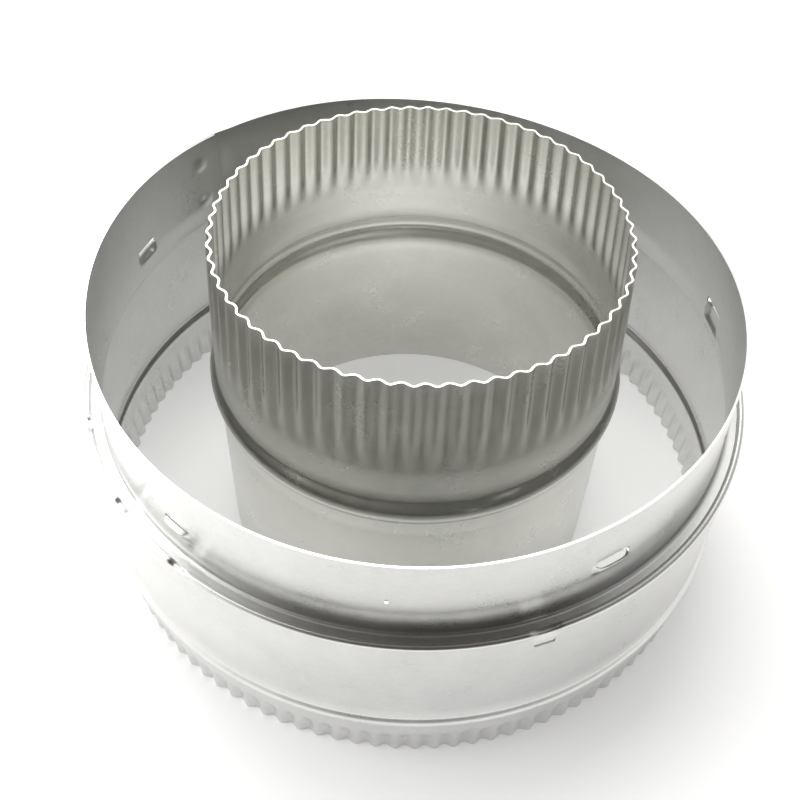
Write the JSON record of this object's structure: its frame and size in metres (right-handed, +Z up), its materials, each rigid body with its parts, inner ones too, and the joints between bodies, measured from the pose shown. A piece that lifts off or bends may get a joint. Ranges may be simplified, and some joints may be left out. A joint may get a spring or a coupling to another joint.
{
  "type": "vent pipe adapter",
  "caption": "Galvanised vent adapter: a crimped and beaded flue pipe standing inside a stepped air sleeve with a crimped skirt.",
  "frame": {"origin": "centre of the base, on the plane that both pipes stand on", "axes": "+Z up along the pipe axis, towards the crimped flue rim; -Y is the side that faced the camera"},
  "size_m": [0.1778, 0.1778, 0.0988],
  "materials": {
    "sleeve_sheet": "satin",
    "band_sheet": "satin",
    "flue_sheet": "satin"
  },
  "bodies": {
    "root": {"upper_sleeve": "sleeve_sheet", "lower_band": "band_sheet", "flue_pipe": "flue_sheet"}
  },
  "joints": []
}
